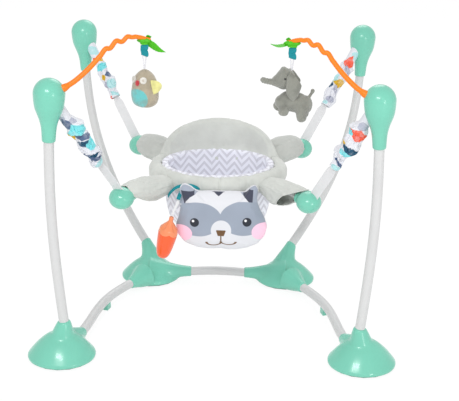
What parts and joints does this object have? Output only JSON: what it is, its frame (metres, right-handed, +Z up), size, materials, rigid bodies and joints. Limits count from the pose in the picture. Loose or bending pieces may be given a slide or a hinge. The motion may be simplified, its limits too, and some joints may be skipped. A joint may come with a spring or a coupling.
{
  "type": "baby jumper",
  "caption": "Free-standing tube frame with a padded fabric seat hung on springs, and soft toys on two wavy bars.",
  "frame": {"origin": "middle of the footprint, on the floor", "axes": "+X to the viewer's right, +Y to the rear, +Z up"},
  "size_m": [1.048, 0.9585, 0.9107],
  "materials": {
    "mint_gloss": "glossy moulded plastic",
    "white_paint": "white powder coat",
    "sole_rubber": "soft rubber",
    "spring_steel": "plain spring wire",
    "printed_cloth": "gathered printed cloth",
    "white_webbing": "woven webbing",
    "pale_cloth": "padded cloth",
    "chevron_cloth": "zigzag striped cloth",
    "face_cloth": "padded cloth with an animal face",
    "orange_plastic": "moulded plastic",
    "red_orange_gloss": "high gloss plastic",
    "pale_orange": "moulded plastic",
    "leaf_green": "moulded plastic",
    "teal_ribbon": "woven ribbon",
    "brown_plush": "short plush",
    "grey_plush": "short plush",
    "wing_yellow": "felt"
  },
  "bodies": {
    "frame": {"post_front_left": "white_paint", "cap_front_left": "mint_gloss", "spring_front_left": "spring_steel", "sleeve_front_left": "printed_cloth", "post_front_right": "white_paint", "cap_front_right": "mint_gloss", "spring_front_right": "spring_steel", "sleeve_front_right": "printed_cloth", "post_rear_left": "white_paint", "cap_rear_left": "mint_gloss", "spring_rear_left": "spring_steel", "sleeve_rear_left": "printed_cloth", "post_rear_right": "white_paint", "cap_rear_right": "mint_gloss", "spring_rear_right": "spring_steel", "sleeve_rear_right": "printed_cloth", "foot_front_left": "mint_gloss", "hub_rear_left": "mint_gloss", "sole_front_left": "sole_rubber", "sole_rear_left": "sole_rubber", "side_tube_left": "white_paint", "side_foot_left": "mint_gloss", "toy_bar_left": "orange_plastic", "leaf_clip_left": "leaf_green", "foot_front_right": "mint_gloss", "hub_rear_right": "mint_gloss", "sole_front_right": "sole_rubber", "sole_rear_right": "sole_rubber", "side_tube_right": "white_paint", "side_foot_right": "mint_gloss", "toy_bar_right": "orange_plastic", "leaf_clip_right": "leaf_green", "cross_tube": "white_paint"},
    "seat": {"seat_ring": "white_paint", "seat_cover": "pale_cloth", "back_panel": "pale_cloth", "seat_pocket": "chevron_cloth", "face_pad": "face_cloth", "carrot_loop": "teal_ribbon", "strap_front_left": "white_webbing", "seat_ball_front_left": "mint_gloss", "arm_cover_front_left": "pale_cloth", "strap_front_right": "white_webbing", "seat_ball_front_right": "mint_gloss", "arm_cover_front_right": "pale_cloth", "strap_rear_left": "white_webbing", "seat_ball_rear_left": "mint_gloss", "arm_cover_rear_left": "pale_cloth", "strap_rear_right": "white_webbing", "seat_ball_rear_right": "mint_gloss", "arm_cover_rear_right": "pale_cloth"},
    "carrot_hanger": {"carrot_strap": "white_webbing"},
    "carrot": {"carrot_body": "red_orange_gloss", "carrot_cap": "pale_orange"},
    "bird_hanger": {"bird_strap": "teal_ribbon"},
    "bird": {"bird_body": "brown_plush", "bird_wing": "wing_yellow"},
    "elephant_hanger": {"elephant_strap": "teal_ribbon"},
    "elephant": {"elephant_body": "grey_plush", "elephant_head": "grey_plush"}
  },
  "joints": [
    {"name": "seat_bounce", "type": "slide", "parent": "frame", "child": "seat", "axis": [0, 0, 1], "range_m": [-0.1, 0.05], "stiffness_N_per_m": 1200, "springref_m": 0.0397, "deforming": ["spring_front_left", "spring_front_right", "spring_rear_left", "spring_rear_right", "sleeve_front_left", "sleeve_front_right", "sleeve_rear_left", "sleeve_rear_right"]},
    {"name": "carrot_swing", "type": "hinge", "parent": "seat", "child": "carrot_hanger", "pos_m": [-0.109, -0.1675, 0.4], "axis": [1, 0, 0], "range_deg": [-40, 0]},
    {"name": "carrot_sway", "type": "hinge", "parent": "carrot_hanger", "child": "carrot", "pos_m": [-0.12626, -0.186, 0.35722], "axis": [0, 1, 0], "range_deg": [0, 25]},
    {"name": "bird_swing", "type": "hinge", "parent": "frame", "child": "bird_hanger", "pos_m": [-0.18962, -0.27686, 0.88091], "axis": [1, 0, 0], "range_deg": [-30, 30]},
    {"name": "bird_sway", "type": "hinge", "parent": "bird_hanger", "child": "bird", "pos_m": [-0.18962, -0.27686, 0.81791], "axis": [0, 1, 0], "range_deg": [-25, 25]},
    {"name": "elephant_swing", "type": "hinge", "parent": "frame", "child": "elephant_hanger", "pos_m": [0.20317, -0.27686, 0.88091], "axis": [1, 0, 0], "range_deg": [-30, 30]},
    {"name": "elephant_sway", "type": "hinge", "parent": "elephant_hanger", "child": "elephant", "pos_m": [0.20317, -0.27686, 0.81891], "axis": [0, 1, 0], "range_deg": [-25, 25]}
  ]
}
